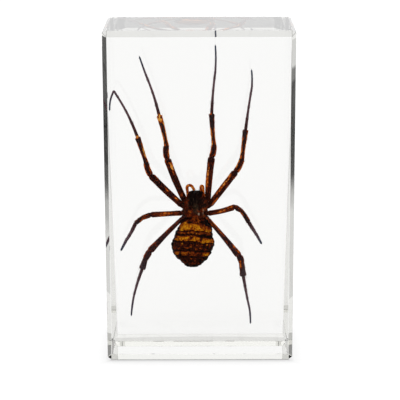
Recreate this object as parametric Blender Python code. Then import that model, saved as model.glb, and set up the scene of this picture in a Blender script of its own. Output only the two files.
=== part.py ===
"""A banded orb-weaver spider cast in an upright block of clear resin.

The block is one casting. It is parted in two halves at the layer that the spider was laid on, so that the
spider can sit in a pocket between them. The spider is one solid: body, palps, jaws, spinnerets and legs.
Metres, +Z up. The origin is the middle of the block's base, and the spider's back faces -Y.
"""

import math
from collections import namedtuple

import bmesh
import bpy
from mathutils import Vector

MM = 0.001

BLOCK_WIDTH = 40.5 * MM
BLOCK_DEPTH = 22.5 * MM
BLOCK_HEIGHT = 73.0 * MM

# The polished chamfers, ground by hand. An upright one has its width at the foot and at the top, and the back
# ones run out below the top. A level one has its depth into the block and its height.
UPRIGHT_CHAMFERS = {"front": (0.9 * MM, 1.0 * MM), "back": (1.5 * MM, -0.5 * MM)}
LEVEL_CHAMFERS = {
    ("front", "top"): (1.2 * MM, 1.2 * MM),
    ("front", "bottom"): (2.0 * MM, 2.0 * MM),
    ("back", "top"): (0.8 * MM, 0.8 * MM),
    ("back", "bottom"): (1.1 * MM, 1.5 * MM),
    ("left", "top"): (0.7 * MM, 0.45 * MM),
    ("left", "bottom"): (0.9 * MM, 0.9 * MM),
    ("right", "top"): (0.7 * MM, 0.45 * MM),
    ("right", "bottom"): (0.9 * MM, 0.9 * MM),
}

# The layer that the spider lies on, half the gap between the two halves, and the pocket's clearance.
LAYER_Y = 1.2 * MM
HALF_GAP = 0.15 * MM
POCKET_CLEARANCE = 0.35 * MM

# From here on the spider is measured in mm. A lift is a distance behind (+) or in front of (-) the layer.

# Body outlines, front to rear: height z, middle x, half width, half thickness.
CARAPACE = (
    (36.7, -0.79, 1.55, 0.85),
    (36.1, -0.80, 1.75, 1.28),
    (35.2, -0.87, 2.20, 1.50),
    (34.0, -0.95, 2.75, 1.55),
    (32.5, -0.97, 2.80, 1.45),
    (31.4, -0.97, 2.50, 1.20),
    (30.4, -1.00, 1.60, 0.90),
)
ABDOMEN = (
    (30.8, -1.00, 1.90, 1.30),
    (29.9, -1.05, 3.00, 2.20),
    (28.6, -1.05, 3.75, 2.75),
    (27.0, -1.33, 4.35, 3.05),
    (25.0, -1.52, 4.88, 3.15),
    (23.6, -1.66, 4.62, 3.05),
    (22.2, -1.70, 3.82, 2.65),
    (20.9, -1.62, 2.65, 2.05),
    (19.9, -1.50, 1.40, 1.20),
)
CARAPACE_LIFT = -0.2
ABDOMEN_LIFT = -0.3
BODY_END = 0.25  # how far the rounded ends stand past the outermost stations

# The lift of a leg's six joints, from hip to tip: the knees are raised towards the front.
JOINT_LIFT = (0.6, -0.9, -0.8, -0.4, 0.0, 0.2)
HIP_REACH = 2.4  # from the hip back into the carapace
HIP_TARGET = (-0.95, 33.0)
HIP_TARGET_LIFT = 0.3
HIP_FLARE = 1.18  # the short thick joint at the hip against the femur's start

# The radius of each segment near its start, at its middle and near its end.
STOUT = ((0.71, 0.79, 0.78), (0.68, 0.72, 0.65), (0.45, 0.54, 0.62), (0.36, 0.26, 0.25), (0.23, 0.21, 0.18))
SHORT = ((0.60, 0.62, 0.65), (0.60, 0.61, 0.57), (0.50, 0.53, 0.50), (0.44, 0.40, 0.35), (0.34, 0.31, 0.24))
HIND = ((0.49, 0.60, 0.77), (0.73, 0.74, 0.69), (0.66, 0.69, 0.74), (0.38, 0.31, 0.26), (0.25, 0.24, 0.19))

# Each leg has its hip's x and z, its radii and five segments. A segment is its length, its bearing in degrees
# clockwise from straight up, and how far it bows to its own right-hand side.
Leg = namedtuple("Leg", "hip radii femur patella tibia metatarsus tarsus")
LEGS = {
    "left_1": Leg(
        (-3.4, 34.8), STOUT,
        (10.0, -21, -0.15), (3.0, -3, -0.2), (6.8, -13, 0.1), (9.4, -17.7, 0.2), (3.8, -19, 0),
    ),
    "left_2": Leg(
        (-3.9, 33.5), STOUT,
        (9.6, -44, -0.1), (3.2, -19, -0.2), (5.8, -18, 0), (11.2, -26.3, 0.36), (4.3, -167, 0.3),
    ),
    "left_3": Leg(
        (-3.9, 31.7), SHORT,
        (6.8, -91, 0), (2.0, -111, 0), (2.0, -131, 0), (4.5, -152, -0.12), (2.6, -153, 0),
    ),
    "left_4": Leg(
        (-3.8, 30.5), HIND,
        (10.2, -135, 0.1), (2.2, -152, 0), (2.5, -163, 0), (6.4, -163, 0.1), (4.7, -172, 0.08),
    ),
    "right_1": Leg(
        (1.8, 35.0), STOUT,
        (9.5, 5, -0.1), (2.9, 10, 0.18), (6.8, -4, -0.08), (9.2, 5, -0.1), (5.4, 0, 0.1),
    ),
    "right_2": Leg(
        (2.3, 33.6), STOUT,
        (9.4, 36, 0), (3.3, 25, 0.25), (6.4, 7, 0), (9.2, 8, -0.06), (3.7, -1, 0.09),
    ),
    "right_3": Leg(
        (1.8, 31.6), SHORT,
        (6.2, 74, 0.2), (1.7, 124, 0), (3.1, 149, -0.08), (3.6, 149, 0), (2.1, 152, 0),
    ),
    "right_4": Leg(
        (1.9, 30.2), HIND,
        (10.5, 140, -0.1), (1.7, 160, -0.1), (3.3, 173, 0), (5.7, 170, 0), (5.4, 173, -0.2),
    ),
}
RING_AT = (0.1, 0.5, 0.9)  # shares of a segment's length where its three rings stand
FOLD_ANGLE = 90  # a joint that turns further than this starts a new tube
TIP_LENGTH = 0.35

# Palps: x, height and radius along the length that rises from the head, and along the one bent down again.
PALPS = {
    "left": (
        ((-2.60, 35.10, 0.30), (-2.64, 36.70, 0.33), (-2.76, 37.55, 0.39), (-2.04, 38.12, 0.37)),
        ((-2.04, 38.12, 0.37), (-1.45, 37.60, 0.35), (-1.10, 36.80, 0.29)),
    ),
    "right": (
        ((0.95, 35.10, 0.32), (0.82, 36.70, 0.31), (0.78, 37.60, 0.32), (0.56, 37.95, 0.30)),
        ((0.56, 37.95, 0.30), (0.20, 37.60, 0.28), (0.32, 36.80, 0.26)),
    ),
}
PALP_LIFT = -0.1

# Jaws below the head and spinnerets under the tail: lift and height of start and end, and their radii.
JAW_SPREAD = 0.62
JAW = ((0.4, 35.85), (2.0, 36.35), (0.55, 0.40))
SPINNERETS = ((0.9, 21.0), (1.7, 20.0), (0.75, 0.40))

# Faces round a tube, of the spider and of its coarser pocket.
LEG_SIDES = 8
BODY_SIDES = 16
POCKET_LEG_SIDES = 6
POCKET_BODY_SIDES = 10


def clear_scene():
    for obj in list(bpy.data.objects):
        bpy.data.objects.remove(obj, do_unlink=True)


def material(name, colour, roughness, transmission=0.0, ior=1.5):
    made = bpy.data.materials.new(name)
    made.use_nodes = True
    shader = made.node_tree.nodes["Principled BSDF"]
    shader.inputs["Base Color"].default_value = (*colour, 1.0)
    shader.inputs["Roughness"].default_value = roughness
    shader.inputs["Metallic"].default_value = 0.0
    shader.inputs["Transmission Weight"].default_value = transmission
    shader.inputs["IOR"].default_value = ior
    return made


def new_object(name, bm, collection):
    """An object made from a bmesh and linked to a collection."""
    bmesh.ops.recalc_face_normals(bm, faces=bm.faces)
    mesh = bpy.data.meshes.new(name)
    bm.to_mesh(mesh)
    bm.free()
    obj = bpy.data.objects.new(name, mesh)
    collection.objects.link(obj)
    return obj


def make_helper(obj):
    obj.hide_render = True
    obj.display_type = "WIRE"


def add_boolean(obj, operation):
    modifier = obj.modifiers.new(operation.lower(), "BOOLEAN")
    modifier.operation = operation
    modifier.solver = "EXACT"
    return modifier


# The block


def cut_flat(bm, point, normal):
    """Removes what lies past a plane and closes the mesh with a flat face there."""
    geometry = bm.verts[:] + bm.edges[:] + bm.faces[:]
    facing = normal.normalized()
    cut = bmesh.ops.bisect_plane(bm, geom=geometry, plane_co=point, plane_no=facing, clear_outer=True)
    edges = [item for item in cut["geom_cut"] if isinstance(item, bmesh.types.BMEdge)]
    bmesh.ops.edgeloop_fill(bm, edges=edges)


def block_faces():
    """Each face's outward axis and its distance out from the origin."""
    return {
        "front": (Vector((0, -1, 0)), BLOCK_DEPTH / 2),
        "back": (Vector((0, 1, 0)), BLOCK_DEPTH / 2),
        "left": (Vector((-1, 0, 0)), BLOCK_WIDTH / 2),
        "right": (Vector((1, 0, 0)), BLOCK_WIDTH / 2),
        "bottom": (Vector((0, 0, -1)), 0.0),
        "top": (Vector((0, 0, 1)), BLOCK_HEIGHT),
    }


def cut_upright_chamfer(bm, face, side, foot_width, top_width):
    """Cuts the edge of the front or back with a side, in a plane that leans as the width changes."""
    face_axis, face_out = block_faces()[face]
    side_axis, side_out = block_faces()[side]
    foot = face_axis * (face_out - foot_width) + side_axis * side_out
    lean = Vector((0, 0, (foot_width - top_width) / BLOCK_HEIGHT))
    cut_flat(bm, foot, face_axis + side_axis - lean)


def cut_level_chamfer(bm, face, end, depth, height):
    """Cuts the edge of an upright face with the top or bottom."""
    face_axis, face_out = block_faces()[face]
    end_axis, end_out = block_faces()[end]
    inner_edge = face_axis * (face_out - depth) + end_axis * end_out
    cut_flat(bm, inner_edge, face_axis * height + end_axis * depth)


def whole_block():
    """The uncut block with its chamfers."""
    bm = bmesh.new()
    bmesh.ops.create_cube(bm, size=1.0)
    bmesh.ops.translate(bm, vec=(0, 0, 0.5), verts=bm.verts)
    bmesh.ops.scale(bm, vec=(BLOCK_WIDTH, BLOCK_DEPTH, BLOCK_HEIGHT), verts=bm.verts)
    for face, widths in UPRIGHT_CHAMFERS.items():
        for side in ("left", "right"):
            cut_upright_chamfer(bm, face, side, *widths)
    for (face, end), size in LEVEL_CHAMFERS.items():
        cut_level_chamfer(bm, face, end, *size)
    return bm


def block_half(name, facing, pocket, resin):
    """The half of the block in front of the layer (facing -1) or behind it (1)."""
    bm = whole_block()
    cut_flat(bm, Vector((0, LAYER_Y + facing * HALF_GAP, 0)), Vector((0, -facing, 0)))
    half = new_object(name, bm, bpy.context.scene.collection)
    half.data.materials.append(resin)
    add_boolean(half, "DIFFERENCE").object = pocket


# The spider. Each tube or body is a loft through stations: a middle, a half width and a half thickness.


def ring(bm, middle, along, half_width, half_thickness, sides):
    """A ring of points square to the direction along, with its thickness nearest to the Y axis."""
    reference = Vector((0, 1, 0)) if abs(along.y) < 0.8 else Vector((0, 0, 1))
    across = along.cross(reference).normalized()
    deep = across.cross(along).normalized()
    points = []
    for index in range(sides):
        turn = 2 * math.pi * (index + 0.5) / sides
        offset = across * half_width * math.cos(turn) + deep * half_thickness * math.sin(turn)
        points.append(bm.verts.new(middle + offset))
    return points


def loft(name, stations, sides, end_length, collection, grow):
    """A closed tube through the stations with pointed ends, enlarged by grow as measured to its flats."""
    corner = 1 / math.cos(math.pi / sides) if grow else 1.0
    middles = [middle for middle, _, _ in stations]
    bm = bmesh.new()
    rings = []
    for index, (middle, half_width, half_thickness) in enumerate(stations):
        before = middles[max(index - 1, 0)]
        after = middles[min(index + 1, len(middles) - 1)]
        wide = (half_width + grow) * corner
        thick = (half_thickness + grow) * corner
        rings.append(ring(bm, middle, (after - before).normalized(), wide, thick, sides))
    for low, high in zip(rings, rings[1:]):
        for index in range(sides):
            following = (index + 1) % sides
            bm.faces.new((low[index], low[following], high[following], high[index]))
    for end_ring, end, inner in ((rings[0], middles[0], middles[1]), (rings[-1], middles[-1], middles[-2])):
        tip = bm.verts.new(end + (end - inner).normalized() * (end_length + grow))
        for index in range(sides):
            bm.faces.new((end_ring[index], end_ring[(index + 1) % sides], tip))
    bmesh.ops.scale(bm, vec=(MM, MM, MM), verts=bm.verts)
    return new_object(name, bm, collection)


def spider_point(x, lift, z):
    return Vector((x, LAYER_Y / MM + lift, z))


def walk(start, length, bearing):
    """The x and z reached by going length from start."""
    angle = math.radians(bearing)
    return (start[0] + length * math.sin(angle), start[1] + length * math.cos(angle))


def between(start, end, share):
    return start + (end - start) * share


def leg_tubes(leg):
    """The stations of a leg's tubes, hip to tip. A joint that turns past FOLD_ANGLE starts a second tube."""
    hip_radius = leg.radii[0][0] * HIP_FLARE
    inward = (Vector(HIP_TARGET) - Vector(leg.hip)).normalized() * HIP_REACH
    root = spider_point(leg.hip[0] + inward.x, HIP_TARGET_LIFT, leg.hip[1] + inward.y)
    hip = spider_point(leg.hip[0], JOINT_LIFT[0], leg.hip[1])
    tubes = [[(root, hip_radius, hip_radius), (hip, hip_radius, hip_radius)]]
    joint = leg.hip
    last_bearing = leg.femur[1]
    last_radius = hip_radius
    segments = (leg.femur, leg.patella, leg.tibia, leg.metatarsus, leg.tarsus)
    for index, (length, bearing, bow) in enumerate(segments):
        radii = leg.radii[index]
        if abs(bearing - last_bearing) > FOLD_ANGLE:
            fold = spider_point(joint[0], JOINT_LIFT[index], joint[1])
            tubes[-1].append((fold, last_radius, last_radius))
            tubes.append([(fold, radii[0], radii[0])])
        for share, radius in zip(RING_AT, radii):
            on_chord = walk(joint, length * share, bearing)
            x, z = walk(on_chord, bow * math.sin(math.pi * share), bearing + 90)
            lift = between(JOINT_LIFT[index], JOINT_LIFT[index + 1], share)
            tubes[-1].append((spider_point(x, lift, z), radius, radius))
        joint = walk(joint, length, bearing)
        last_bearing = bearing
        last_radius = radii[-1]
    return tubes


def palp_stations(path):
    return [(spider_point(x, PALP_LIFT, z), radius, radius) for x, z, radius in path]


def stub_stations(x, start, end, radii):
    """A short tube from start to end, each a lift and a height, that keeps the same x."""
    return [(spider_point(x, lift, z), radius, radius) for (lift, z), radius in zip((start, end), radii)]


def body_stations(outline, lift):
    return [(spider_point(x, lift, z), wide, thick) for z, x, wide, thick in outline]


def build_spider(name, leg_sides, body_sides, grow=0.0):
    """The whole spider as one solid, enlarged by grow all round: the abdomen, joined to all the rest."""
    limbs = bpy.data.collections.new(name + "_limbs")
    bpy.context.scene.collection.children.link(limbs)

    def add(part, stations, sides=leg_sides, end_length=TIP_LENGTH):
        make_helper(loft(f"{name}_{part}", stations, sides, end_length, limbs, grow))

    add("carapace", body_stations(CARAPACE, CARAPACE_LIFT), body_sides, BODY_END)
    add("spinnerets", stub_stations(ABDOMEN[-2][1], *SPINNERETS))
    for side, facing in (("left", -1), ("right", 1)):
        add(f"jaw_{side}", stub_stations(CARAPACE[0][1] + facing * JAW_SPREAD, *JAW))
        for index, path in enumerate(PALPS[side]):
            add(f"palp_{side}_{index}", palp_stations(path))
    for leg_name, leg in LEGS.items():
        for index, stations in enumerate(leg_tubes(leg)):
            add(f"{leg_name}_{index}", stations)

    abdomen = body_stations(ABDOMEN, ABDOMEN_LIFT)
    spider = loft(name, abdomen, body_sides, BODY_END, bpy.context.scene.collection, grow)
    union = add_boolean(spider, "UNION")
    union.operand_type = "COLLECTION"
    union.collection = limbs
    return spider


def main():
    clear_scene()
    cuticle = material("dried_cuticle", (0.09, 0.035, 0.014), 0.42)
    resin = material("clear_resin", (0.98, 0.985, 0.98), 0.02, transmission=1.0)

    spider = build_spider("spider", LEG_SIDES, BODY_SIDES)
    spider.data.materials.append(cuticle)
    spider.data.shade_smooth()

    pocket = build_spider("pocket", POCKET_LEG_SIDES, POCKET_BODY_SIDES, POCKET_CLEARANCE / MM)
    make_helper(pocket)
    block_half("block_front", -1, pocket, resin)
    block_half("block_back", 1, pocket, resin)


main()
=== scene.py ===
"""The looks of a banded orb-weaver spider in an upright block of clear resin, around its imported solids.

The block is one clear casting. The spider is modelled part by part in millimetres, from the same outlines and
leg lines as its solid, and then finished with joints, wrinkles, eyes, spines and hairs.
"""

import math
import random
from collections import namedtuple

import bpy
from mathutils import Matrix, Vector, noise


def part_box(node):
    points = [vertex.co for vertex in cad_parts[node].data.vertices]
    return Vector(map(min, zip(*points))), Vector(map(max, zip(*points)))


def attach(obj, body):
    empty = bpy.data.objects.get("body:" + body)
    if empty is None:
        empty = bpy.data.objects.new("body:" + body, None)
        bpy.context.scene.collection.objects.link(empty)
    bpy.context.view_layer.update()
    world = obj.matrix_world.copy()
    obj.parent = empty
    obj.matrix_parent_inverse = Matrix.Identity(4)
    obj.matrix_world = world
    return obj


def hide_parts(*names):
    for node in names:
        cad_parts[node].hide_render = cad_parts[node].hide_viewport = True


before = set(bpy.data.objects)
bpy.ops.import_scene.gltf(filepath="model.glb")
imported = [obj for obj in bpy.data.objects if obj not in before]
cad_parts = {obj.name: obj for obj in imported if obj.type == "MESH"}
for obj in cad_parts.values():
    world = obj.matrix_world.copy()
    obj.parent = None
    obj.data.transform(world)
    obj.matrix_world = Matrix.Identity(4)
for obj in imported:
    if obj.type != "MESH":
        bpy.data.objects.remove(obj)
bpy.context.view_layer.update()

MM = 0.001

# The block's sides: the outward axis of each, and the corner of the solids' own box that it holds.
BLOCK_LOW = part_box("block_front")[0]
BLOCK_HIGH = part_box("block_back")[1]
SIDES = {
    "front": (Vector((0, -1, 0)), BLOCK_LOW),
    "back": (Vector((0, 1, 0)), BLOCK_HIGH),
    "left": (Vector((-1, 0, 0)), BLOCK_LOW),
    "right": (Vector((1, 0, 0)), BLOCK_HIGH),
    "bottom": (Vector((0, 0, -1)), BLOCK_LOW),
    "top": (Vector((0, 0, 1)), BLOCK_HIGH),
}
# Its polished chamfers in mm, which were ground by hand. An upright edge's has a width at the foot and one at
# the top, where a width below 0 means that it runs out on the way.
UPRIGHT_CHAMFERS = {"front": (0.9, 1.0), "back": (1.5, -0.5)}
# A level edge's has a depth into the block and a height, for the top edge and for the bottom one.
LEVEL_CHAMFERS = {
    "front": ((1.2, 1.2), (2.0, 2.0)),
    "back": ((0.8, 0.8), (1.1, 1.5)),
    "left": ((0.7, 0.45), (0.9, 0.9)),
    "right": ((0.7, 0.45), (0.9, 0.9)),
}
ARRIS = 0.09 * MM  # the polished rounding of every edge
ARRIS_STEPS = 2

# The resin swallows about a tenth of the light that crosses the block from front to back.
RESIN_IOR = 1.5
RESIN_TINT = (0.62, 0.62, 0.58)
RESIN_DENSITY = 11.5
# The chamfers carry painted shade: a little greyer than the faces, most of all round the top.
FACE_TINT = (1.0, 1.0, 1.0)
CHAMFER_SHADE = (0.78, 0.78, 0.75)
TOP_CHAMFER_SHADE = (0.60, 0.60, 0.58)

# Camera and studio.
CAMERA_PLACE = (0.77 * MM, -327.9 * MM, 120.0 * MM)
CAMERA_PITCH = math.radians(14.71)
CAMERA_YAW = math.radians(-0.12)
CAMERA_ROLL = math.radians(-0.16)
CAMERA_LENS = 138.2
FLOOR_SIZE = 8.0
FLOOR_DROP = 0.1 * MM
SEEN_ROOM = 1.05  # how white the room is where the camera sees it


# Materials: a Wire is a node's output that takes part in sums, so that a material reads as formulas.


class Wire:
    """A socket that can be added, multiplied and compared. Each such step adds its Math node."""

    def __init__(self, tree, socket=None):
        self.tree = tree
        self.socket = socket

    def node(self, kind, settings=None, sockets=None, output=0):
        """Any node: its settings first, then the values or links of its sockets. Returns one output."""
        made = self.tree.nodes.new("ShaderNode" + kind)
        for name, value in (settings or {}).items():
            if name == "stops":
                set_stops(made.color_ramp, value)
            else:
                setattr(made, name, value)
        for name, value in (sockets or {}).items():
            plug(self.tree, made.inputs[name], value)
        return Wire(self.tree, made.outputs[output])

    def math(self, operation, *values):
        return self.node("Math", {"operation": operation}, dict(enumerate(values)))

    def __add__(self, other):
        return self.math("ADD", self, other)

    __radd__ = __add__

    def __sub__(self, other):
        return self.math("SUBTRACT", self, other)

    def __rsub__(self, other):
        return self.math("SUBTRACT", other, self)

    def __mul__(self, other):
        return self.math("MULTIPLY", self, other)

    __rmul__ = __mul__

    def __truediv__(self, other):
        return self.math("DIVIDE", self, other)

    def absolute(self):
        return self.math("ABSOLUTE", self)

    def larger(self, other):
        return self.math("MAXIMUM", self, other)

    def clamp(self):
        """This wire kept between 0 and 1."""
        return self.math("MINIMUM", self.larger(0.0), 1.0)

    def above(self, other):
        """1 where this wire is above a value, else 0."""
        return self.math("GREATER_THAN", self, other)

    def mix(self, low, high):
        """The colour low where this wire is 0 and high where it is 1."""
        return self.node("Mix", {"data_type": "RGBA"}, {0: self, 6: low, 7: high}, output=2)

    def axes(self):
        """The x, y and z of this vector."""
        return [self.node("SeparateXYZ", {}, {0: self}, output=axis) for axis in range(3)]

    def stretched(self, shares):
        """This vector with each axis multiplied by its share."""
        return self.node("VectorMath", {"operation": "MULTIPLY"}, {0: self, 1: shares})


def plug(tree, socket, value):
    """Links a Wire to a socket, or sets the socket's own value."""
    if isinstance(value, Wire):
        tree.links.new(value.socket, socket)
    elif isinstance(value, tuple) and len(value) == 3 and socket.type == "RGBA":
        socket.default_value = (*value, 1.0)
    else:
        socket.default_value = value


def set_stops(ramp, stops):
    while len(ramp.elements) < len(stops):
        ramp.elements.new(0.5)
    for element, (position, colour) in zip(ramp.elements, stops):
        element.position = position
        element.color = (*colour, 1.0)


def new_material(name):
    """A material, its Principled shader and a Wire to start formulas from."""
    made = bpy.data.materials.new(name)
    made.use_nodes = True
    return made, made.node_tree.nodes["Principled BSDF"], Wire(made.node_tree)


def set_shader(wire, shader, **values):
    """Sets the shader's sockets. An underscore in a name stands for a space."""
    for name, value in values.items():
        plug(wire.tree, shader.inputs[name.replace("_", " ")], value)


def clear_resin():
    """Polished resin, whose chamfers are greyed by painted shade, most of all round the top. Its faces lie
    square to one axis, which is how they are told from its chamfers.
    """
    made, shader, wire = new_material("clear_resin")
    axes = wire.node("NewGeometry", output=1).axes()
    across, back, up = (axis.absolute() for axis in axes)
    square = across.larger(back).larger(up).above(0.97)
    # Painted shade: the chamfers' colour is greyer than the faces', and greyest round the top.
    chamfer = axes[2].above(0.3).mix(CHAMFER_SHADE, TOP_CHAMFER_SHADE)
    set_shader(wire, shader, Base_Color=square.mix(chamfer, FACE_TINT), Roughness=0.0)
    set_shader(wire, shader, IOR=RESIN_IOR, Transmission_Weight=1.0)
    absorbed = wire.node("VolumeAbsorption", {}, {"Color": RESIN_TINT, "Density": RESIN_DENSITY})
    plug(wire.tree, wire.tree.nodes["Material Output"].inputs["Volume"], absorbed)
    return made


def shade(code):
    """A colour in a shader's linear values, from its code as it is seen: six figures, or two for a grey."""
    code *= 6 // len(code)
    values = [int(code[index:index + 2], 16) / 255 for index in (0, 2, 4)]
    return tuple(value / 12.92 if value < 0.04045 else ((value + 0.055) / 1.055) ** 2.4 for value in values)


def ramp(wire, stops, low=0.0, high=1.0):
    """A colour that runs through stops of (value, code) as a wire goes from low to high."""
    share = (wire - low) / (high - low)
    colours = [((value - low) / (high - low), shade(code)) for value, code in stops]
    return share.node("ValToRGB", {"stops": colours}, {0: share})


def in_mm(wire):
    """The place on a piece, in mm, as x, y and z and as a vector."""
    place = wire.node("TexCoord", output=3)
    scaled = place.node("VectorMath", {"operation": "SCALE"}, {0: place, 3: 1 / MM})
    return (*scaled.axes(), scaled)


def noted(wire, name, output=2):
    """What the points of a piece note under a name: a number at output 2, or a vector at output 1."""
    return wire.node("Attribute", {"attribute_name": name}, output=output)


def cloud(vector, size, detail=3.0, distortion=0.0):
    """Noise from 0 to 1 whose lumps are about a size across."""
    sockets = {"Vector": vector, "Scale": 1 / size, "Detail": detail, "Distortion": distortion}
    return vector.node("TexNoise", {}, sockets)


def finish_cuticle(wire, shader, colour, roughness, height, depth):
    """Dry cuticle: the resin round it leaves it almost no gloss."""
    normal = wire.node("Bump", {}, {"Strength": 0.6, "Distance": depth * MM, "Height": height})
    set_shader(wire, shader, Base_Color=colour, Roughness=roughness, Normal=normal)
    set_shader(wire, shader, Specular_IOR_Level=0.03)


# A leg's colours: its middle and its edges from hip (-1) to tip (5), where the edges are painted backlight,
# its dust, and its amber windows of painted light shining through the cuticle, by their light, up to yellow
# painted highlights.
LEG_SPAN = (-1.0, 5.0)
LEG_CORE = (
    (-1.0, "34160A"), (0.0, "2E1009"), (0.95, "26100F"), (1.5, "281414"), (2.1, "2E1C1A"), (2.9, "302424"),
    (3.15, "4A3234"), (3.6, "6A5056"), (4.2, "5E4E58"), (4.6, "525262"), (5.0, "4C5666"),
)
# The edges' colours, which stand for painted backlight.
LEG_BACKLIT_EDGE = (
    (-1.0, "5A2612"), (0.0, "5E2A14"), (1.0, "742E1A"), (2.0, "8A4424"), (3.0, "74382C"), (3.6, "7E585C"),
    (4.2, "6A525C"), (5.0, "5A6676"),
)
LEG_DUST = "746068"
# Painted light shining through the cuticle, from dim amber to yellow painted highlights.
PAINTED_AMBER_LIGHT = (
    (0.0, "501A0A"), (0.3, "88300E"), (0.55, "BC500E"), (0.8, "DE6A16"), (1.05, "F48428"), (1.6, "FFBC58"),
)


def leg_cuticle(name, faded):
    """Near black with brown edges of painted backlight, slate tips, and amber windows of painted light
    shining through where the cuticle is thin, brightest as painted highlights and glints. A faded leg's dust
    thickens towards its tip."""
    made, shader, wire = new_material(name)
    place = noted(wire, "place", 1)
    along = noted(wire, "along")
    glow = noted(wire, "glow")
    sideways = place.axes()[0]
    streaks = cloud(place, 0.9, 4.0, 0.6)
    grain = cloud(place, 0.3, 2.0)
    lines = cloud(place.stretched((1.6, 1.6, 0.9)), 1.0)
    core, edge = (ramp(along + (streaks - 0.5) * 0.4, stops, *LEG_SPAN) for stops in (LEG_CORE, LEG_BACKLIT_EDGE))
    # Painted backlight: the edges, as the front sees them, turn brown as if lit from behind through thin
    # cuticle.
    backlit_rim = ((sideways * sideways - 0.4) * 1.8 + (streaks - 0.5) * 1.2 + (lines - 0.5) * 3.0).clamp()
    dust = (grain - 0.2) * (1 + (along - 1.8).clamp() * 2) * (2 * faded)
    skin = dust.clamp().mix(backlit_rim.mix(core, edge), shade(LEG_DUST))
    # Painted glints: small bright specks near the hip, added to the painted light.
    glint_speckle = ((cloud(place, 0.35, 2.0) - 0.57) * 6).clamp() * ((2.1 - along) * 2).clamp()
    # Painted light shining through the cuticle: the noted windows, with streaks, lines and grain, and the
    # painted glints.
    lit = glow * (0.26 + ((streaks - 0.4) * 4.0).clamp() * 1.15 + (lines - 0.5) * 6.5)
    lit = lit + (grain - 0.5) * 3.4 * glow + glint_speckle * 0.5
    colour = (lit * 2.2).clamp().mix(skin, ramp(lit, PAINTED_AMBER_LIGHT, 0.0, 1.6))
    finish_cuticle(wire, shader, colour, 0.4 + grain * 0.25, grain + streaks, 0.06)
    return made


# The colours of the body's dry cuticle, from its darkest (0) to where it is thin or pale (1).
RICHNESS = (
    (0.0, "0C0302"), (0.2, "280B04"), (0.36, "541905"), (0.5, "883408"), (0.62, "B05A04"), (0.78, "CE8006"),
    (1.0, "EEAC22"),
)
BAND_LEAN = 0.17  # how far the markings lean towards the tail from the flank to the back, for each mm


def spots(x, z, places):
    """The sum of soft spots on the back. Each has its x, height, half width, half height and strength."""
    total = x * 0.0
    for middle, height, wide, high, strength in places:
        across = (x - middle) / wide
        up = (z - height) / high
        total = total + (1.0 - (across * across + up * up)).clamp() * strength
    return total


# Carapace: the reddish, orange, grey and dark places behind the head, and pale specks of painted highlight.
CARAPACE_SPOTS = (
    (-2.0, 32.1, 0.75, 0.40, 0.24), (-3.2, 33.0, 0.7, 1.0, 0.10), (0.9, 32.5, 0.8, 0.9, 0.18),
    (-2.6, 31.4, 1.0, 0.7, 0.12), (1.3, 34.1, 0.5, 0.6, 0.12), (0.6, 31.2, 0.9, 0.6, 0.14),
    (-3.0, 34.4, 0.5, 0.5, 0.10), (-0.4, 33.2, 0.7, 1.0, -0.12), (-0.9, 30.7, 2.4, 0.9, 0.20),
)
BLOOM_SPOTS = (
    (-0.9, 33.0, 0.75, 1.6, 0.55), (-0.25, 31.65, 0.28, 0.32, 1.0), (0.85, 31.4, 0.22, 0.25, 0.8),
    (0.95, 32.4, 0.3, 0.35, 0.5), (-2.4, 33.6, 0.4, 0.5, 0.3),
)
# Painted highlights: pale specks where the back catches the light.
PAINTED_HIGHLIGHT_SPOTS = ((-0.19, 31.56, 0.24, 0.36, 1.0), (0.80, 32.50, 0.18, 0.30, 0.6), (0.75, 31.80, 0.14, 0.34, 0.5))


def carapace_cuticle():
    """A near-black square head, and red brown behind it with orange places, a grey bloom and pale specks of
    painted highlight.
    """
    made, shader, wire = new_material("carapace_cuticle")
    x, y, z, place = in_mm(wire)
    mottle = cloud(place, 0.9, 4.0, 0.6)
    grain = cloud(place, 0.3, 4.0)
    z = z + (y - LAYER - CARAPACE_LIFT) * BAND_LEAN
    rich = 0.22 + (mottle - 0.5) * 1.0 + (grain - 0.5) * 0.9 + spots(x, z, CARAPACE_SPOTS)
    off_head = ((x + 0.85).absolute() / 1.35).larger((z - 35.9).absolute() / 2.1)
    clear = ((off_head + (mottle - 0.5) * 0.7 - 0.85) * 4.0).clamp()
    colour = ramp(rich * (0.12 + clear * 0.88), RICHNESS)
    bloom = (spots(x, z, BLOOM_SPOTS) * (grain * 2.6 - 0.8)).clamp()
    colour = (bloom * clear).mix(colour, shade("7A644A"))
    # The pale specks of painted highlight are laid over the colour.
    colour = spots(x, z, PAINTED_HIGHLIGHT_SPOTS).clamp().mix(colour, shade("AE9884"))
    finish_cuticle(wire, shader, colour, 0.5 + grain * 0.2, grain + mottle, 0.1)
    return made


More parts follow.
